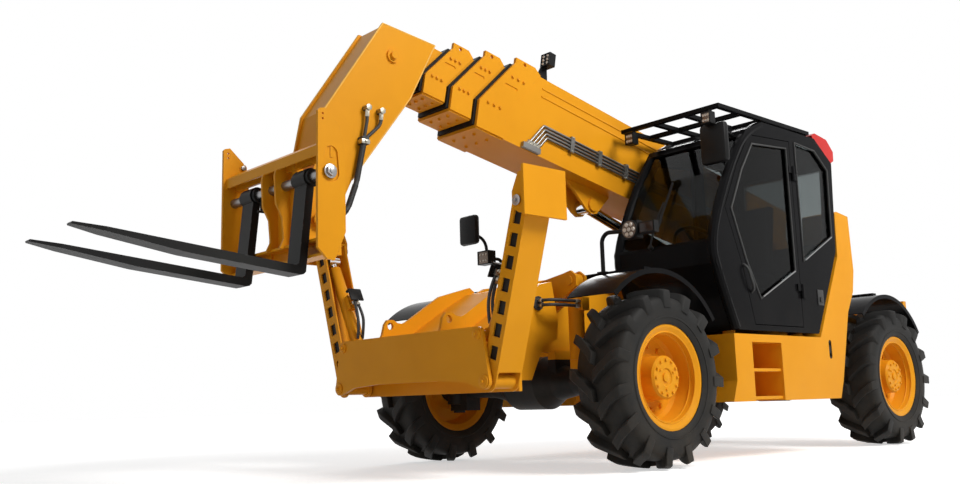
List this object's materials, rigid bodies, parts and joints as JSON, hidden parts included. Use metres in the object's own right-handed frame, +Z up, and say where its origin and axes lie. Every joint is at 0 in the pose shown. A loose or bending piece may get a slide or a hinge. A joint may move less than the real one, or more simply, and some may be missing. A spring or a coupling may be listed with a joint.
{
  "type": "telehandler",
  "caption": "Telescopic handler with a side cab, telescoping boom with goose neck and fork carriage, front stabiliser legs and lugged tyres.",
  "frame": {"origin": "on the ground under the middle of the overall box, forks included", "axes": "+X forward, +Y to the cab side (left), +Z up"},
  "size_m": [7.59, 2.488, 3.0739],
  "materials": {
    "paint_yellow": "satin",
    "paint_black": "satin",
    "frame_black": "satin",
    "tyre": "matte",
    "plastic_black": "matte",
    "glass": "clear",
    "rod_chrome": "polished",
    "fork_steel": "satin",
    "shaft_steel": "satin",
    "slide_pad": "matte",
    "pipe_steel": "satin",
    "engine_iron": "rough",
    "red_plastic": "gloss",
    "hose_rubber": "matte",
    "seat_cloth": "woven"
  },
  "bodies": {
    "chassis": {"main_frame": "paint_yellow", "front_beam": "paint_yellow", "sway_cylinder": "paint_yellow", "beam_hoses": "hose_rubber", "side_box": "paint_yellow", "engine_base": "paint_yellow", "engine_block": "engine_iron", "tail_weight": "paint_yellow", "drive_line": "frame_black", "front_axle": "frame_black", "rear_axle": "frame_black", "fenders": "plastic_black", "cab_frame": "paint_black", "cab_glass": "glass", "roof_guard": "paint_black", "roof_cap": "red_plastic", "seat": "seat_cloth", "console": "plastic_black", "lamps": "plastic_black", "mirrors": "plastic_black"},
    "hood": {"engine_hood": "paint_yellow"},
    "door": {"door_frame": "paint_black", "door_glass": "glass"},
    "boom": {"boom_outer": "paint_yellow", "boom_pipes": "pipe_steel", "boom_lamp": "plastic_black", "wear_pads_outer": "slide_pad"},
    "stage_a": {"boom_mid_a": "paint_yellow", "wear_pads_mid_a": "slide_pad"},
    "stage_b": {"boom_mid_b": "paint_yellow", "wear_pads_mid_b": "slide_pad"},
    "boom_head": {"boom_inner": "paint_yellow", "neck_hoses": "hose_rubber"},
    "fork_carriage": {"carriage": "paint_yellow", "fork_shaft": "shaft_steel", "fork_left": "fork_steel", "fork_right": "fork_steel"},
    "lift_barrel": {"lift_barrel": "paint_black"},
    "lift_rod": {"lift_rod": "rod_chrome"},
    "leg_left": {"leg_left": "paint_yellow"},
    "leg_barrel_left": {"leg_barrel_left": "paint_yellow"},
    "leg_rod_left": {"leg_rod_left": "rod_chrome"},
    "pad_left": {"pad_left": "paint_yellow"},
    "leg_right": {"leg_right": "paint_yellow"},
    "leg_barrel_right": {"leg_barrel_right": "paint_yellow"},
    "leg_rod_right": {"leg_rod_right": "rod_chrome"},
    "pad_right": {"pad_right": "paint_yellow"},
    "knuckle_front_left": {"knuckle_front_left": "frame_black"},
    "wheel_front_left": {"rim_front_left": "paint_yellow", "tyre_front_left": "tyre"},
    "knuckle_front_right": {"knuckle_front_right": "frame_black"},
    "wheel_front_right": {"rim_front_right": "paint_yellow", "tyre_front_right": "tyre"},
    "knuckle_rear_left": {"knuckle_rear_left": "frame_black"},
    "wheel_rear_left": {"rim_rear_left": "paint_yellow", "tyre_rear_left": "tyre"},
    "knuckle_rear_right": {"knuckle_rear_right": "frame_black"},
    "wheel_rear_right": {"rim_rear_right": "paint_yellow", "tyre_rear_right": "tyre"}
  },
  "joints": [
    {"name": "boom_lift", "type": "hinge", "parent": "chassis", "child": "boom", "pos_m": [-2.75, 0, 1.8], "axis": [0, -1, 0], "range_deg": [-12.5, 59]},
    {"name": "boom_extend", "type": "slide", "parent": "boom", "child": "stage_a", "axis": [0.982, 0, 0.1891], "range_m": [0, 2.9]},
    {"name": "boom_extend_b", "type": "slide", "parent": "stage_a", "child": "stage_b", "axis": [0.982, 0, 0.1891], "range_m": [0, 2.9]},
    {"name": "boom_extend_c", "type": "slide", "parent": "stage_b", "child": "boom_head", "axis": [0.982, 0, 0.1891], "range_m": [0, 2.9]},
    {"name": "carriage_tilt", "type": "hinge", "parent": "boom_head", "child": "fork_carriage", "pos_m": [2.29, 0, 1.56], "axis": [0, 1, 0], "range_deg": [-12, 90]},
    {"name": "lift_barrel_swing", "type": "hinge", "parent": "chassis", "child": "lift_barrel", "pos_m": [-2.67295, 0, 1.26369], "axis": [0, -1, 0], "range_deg": [-11.31, 53.38]},
    {"name": "lift_rod_slide", "type": "slide", "parent": "lift_barrel", "child": "lift_rod", "axis": [0.9563, 0, 0.2924], "range_m": [-0.1008, 0.4754]},
    {"name": "hood_lift", "type": "hinge", "parent": "chassis", "child": "hood", "pos_m": [-1.3, -0.296, 1.456], "axis": [-1, 0, 0], "range_deg": [0, 60]},
    {"name": "door_swing", "type": "hinge", "parent": "chassis", "child": "door", "pos_m": [-1.455, 1.214, 1.5], "axis": [0, 0, 1], "range_deg": [0, 90]},
    {"name": "leg_left_swing", "type": "hinge", "parent": "chassis", "child": "leg_left", "pos_m": [1.3725, 0.758, 0.576], "axis": [-1, 0, 0], "range_deg": [0, 105]},
    {"name": "leg_barrel_left_swing", "type": "hinge", "parent": "chassis", "child": "leg_barrel_left", "pos_m": [1.3725, 0.706, 0.86], "axis": [-1, 0, 0], "range_deg": [0, 105]},
    {"name": "leg_rod_left_slide", "type": "slide", "parent": "leg_barrel_left", "child": "leg_rod_left", "axis": [0, 0.4559, 0.89], "range_m": [0, 0.4582]},
    {"name": "pad_left_tilt", "type": "hinge", "parent": "leg_left", "child": "pad_left", "pos_m": [1.3725, 1.07815, 1.62315], "axis": [1, 0, 0], "range_deg": [0, 15]},
    {"name": "leg_right_swing", "type": "hinge", "parent": "chassis", "child": "leg_right", "pos_m": [1.3725, -0.758, 0.576], "axis": [1, 0, 0], "range_deg": [0, 105]},
    {"name": "leg_barrel_right_swing", "type": "hinge", "parent": "chassis", "child": "leg_barrel_right", "pos_m": [1.3725, -0.706, 0.86], "axis": [1, 0, 0], "range_deg": [0, 105]},
    {"name": "leg_rod_right_slide", "type": "slide", "parent": "leg_barrel_right", "child": "leg_rod_right", "axis": [0, -0.4559, 0.89], "range_m": [0, 0.4582]},
    {"name": "pad_right_tilt", "type": "hinge", "parent": "leg_right", "child": "pad_right", "pos_m": [1.3725, -1.07815, 1.62315], "axis": [-1, 0, 0], "range_deg": [0, 15]},
    {"name": "steer_front_left", "type": "hinge", "parent": "chassis", "child": "knuckle_front_left", "pos_m": [0.3, 0.86, 0.58], "axis": [0, 0, 1], "range_deg": [-35, 35]},
    {"name": "spin_front_left", "type": "hinge", "parent": "knuckle_front_left", "child": "wheel_front_left", "pos_m": [0.3, 1.044, 0.58], "axis": [0, 1, 0], "continuous": true},
    {"name": "steer_front_right", "type": "hinge", "parent": "chassis", "child": "knuckle_front_right", "pos_m": [0.3, -0.86, 0.58], "axis": [0, 0, 1], "range_deg": [-35, 35]},
    {"name": "spin_front_right", "type": "hinge", "parent": "knuckle_front_right", "child": "wheel_front_right", "pos_m": [0.3, -1.044, 0.58], "axis": [0, 1, 0], "continuous": true},
    {"name": "steer_rear_left", "type": "hinge", "parent": "chassis", "child": "knuckle_rear_left", "pos_m": [-2.95, 0.86, 0.58], "axis": [0, 0, 1], "range_deg": [-35, 35]},
    {"name": "spin_rear_left", "type": "hinge", "parent": "knuckle_rear_left", "child": "wheel_rear_left", "pos_m": [-2.95, 1.044, 0.58], "axis": [0, 1, 0], "continuous": true},
    {"name": "steer_rear_right", "type": "hinge", "parent": "chassis", "child": "knuckle_rear_right", "pos_m": [-2.95, -0.86, 0.58], "axis": [0, 0, 1], "range_deg": [-35, 35]},
    {"name": "spin_rear_right", "type": "hinge", "parent": "knuckle_rear_right", "child": "wheel_rear_right", "pos_m": [-2.95, -1.044, 0.58], "axis": [0, 1, 0], "continuous": true}
  ],
  "couplings": [
    {"joint": "boom_extend_b", "follows": "boom_extend", "ratio": 1},
    {"joint": "boom_extend_c", "follows": "boom_extend", "ratio": 1},
    {"joint": "lift_barrel_swing", "follows": "boom_lift", "ratio": 0.9046},
    {"joint": "lift_rod_slide", "follows": "boom_lift", "m_per_rad": 0.4616},
    {"joint": "leg_barrel_left_swing", "follows": "leg_left_swing", "ratio": 1},
    {"joint": "leg_rod_left_slide", "follows": "leg_left_swing", "m_per_rad": 0.25},
    {"joint": "leg_barrel_right_swing", "follows": "leg_right_swing", "ratio": 1},
    {"joint": "leg_rod_right_slide", "follows": "leg_right_swing", "m_per_rad": 0.25},
    {"joint": "steer_front_right", "follows": "steer_front_left", "ratio": 1},
    {"joint": "steer_rear_right", "follows": "steer_rear_left", "ratio": 1}
  ]
}
